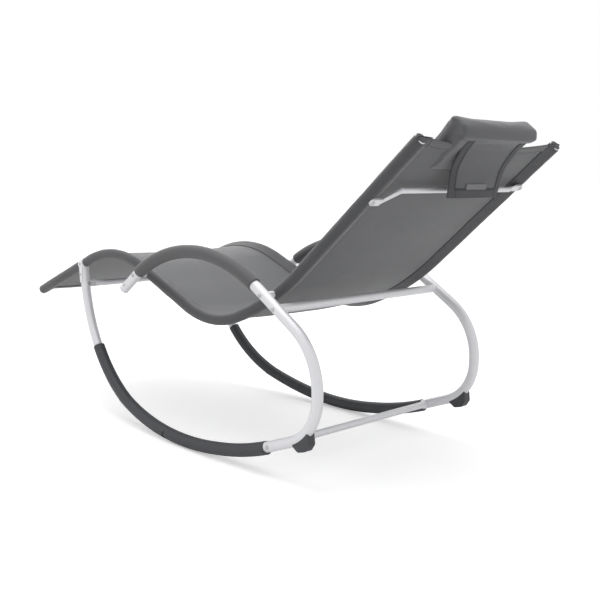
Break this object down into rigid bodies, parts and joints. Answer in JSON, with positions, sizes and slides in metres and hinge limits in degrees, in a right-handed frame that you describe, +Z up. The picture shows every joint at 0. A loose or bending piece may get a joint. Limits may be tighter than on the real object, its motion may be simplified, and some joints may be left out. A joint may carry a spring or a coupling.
{
  "type": "rocking chaise lounge",
  "caption": "Rocking chaise lounge: side loops of bent tube with rubber rocker sleeves and foam arms, S-shaped textile sling seat and a sliding head pillow with a hanging flap.",
  "frame": {"origin": "middle of the underside of the bounding box, on the floor under the rockers", "axes": "+Z up, +Y towards the head end, +X to the sitter's left"},
  "size_m": [0.66, 1.6478, 0.8793],
  "materials": {
    "frame_paint": "satin powder coat",
    "white_plastic": "moulded, matt",
    "rubber": "matt, slightly worn",
    "foam": "closed-cell foam, matt",
    "dark_plastic": "moulded, matt",
    "fastener": "zinc plated",
    "textile": "woven coated yarn with a soft sheen",
    "pillow_cover": "coated cloth, soft sheen",
    "patch": "smooth coated cloth"
  },
  "bodies": {
    "frame": {"arm_end_plug_left": "dark_plastic", "arm_end_plug_right": "dark_plastic", "arm_grip_left": "foam", "arm_grip_right": "foam", "arm_screw_left": "fastener", "arm_screw_right": "fastener", "arm_spacer_left": "frame_paint", "arm_spacer_right": "frame_paint", "back_brace": "frame_paint", "back_brace_bolt_left": "fastener", "back_brace_bolt_right": "fastener", "bumper_foot_left": "rubber", "bumper_foot_right": "rubber", "foot_brace": "frame_paint", "foot_brace_bolt_left": "fastener", "foot_brace_bolt_right": "fastener", "lug_rivets_left": "fastener", "lug_rivets_right": "fastener", "plug_screw_left": "fastener", "plug_screw_right": "fastener", "rail_foot_plug_left": "dark_plastic", "rail_foot_plug_right": "dark_plastic", "rail_head_plug_left": "dark_plastic", "rail_head_plug_right": "dark_plastic", "rail_lug_left": "white_plastic", "rail_lug_right": "white_plastic", "rear_cross_tube": "frame_paint", "rear_screws_left": "fastener", "rear_screws_right": "fastener", "rear_spacer_left": "frame_paint", "rear_spacer_right": "frame_paint", "rocker_bar_screw_left": "fastener", "rocker_bar_screw_right": "fastener", "rocker_cross_bar": "frame_paint", "rocker_sleeve_left": "rubber", "rocker_sleeve_right": "rubber", "seat_rail_left": "frame_paint", "seat_rail_right": "frame_paint", "side_loop_left": "frame_paint", "side_loop_right": "frame_paint", "sling": "textile"},
    "pillow": {"head_pillow": "pillow_cover", "pillow_flap": "textile", "flap_patch": "patch"}
  },
  "joints": [
    {"name": "pillow_slide", "type": "slide", "parent": "frame", "child": "pillow", "axis": [0, 0.7511, 0.6602], "range_m": [0, 0.08]}
  ]
}
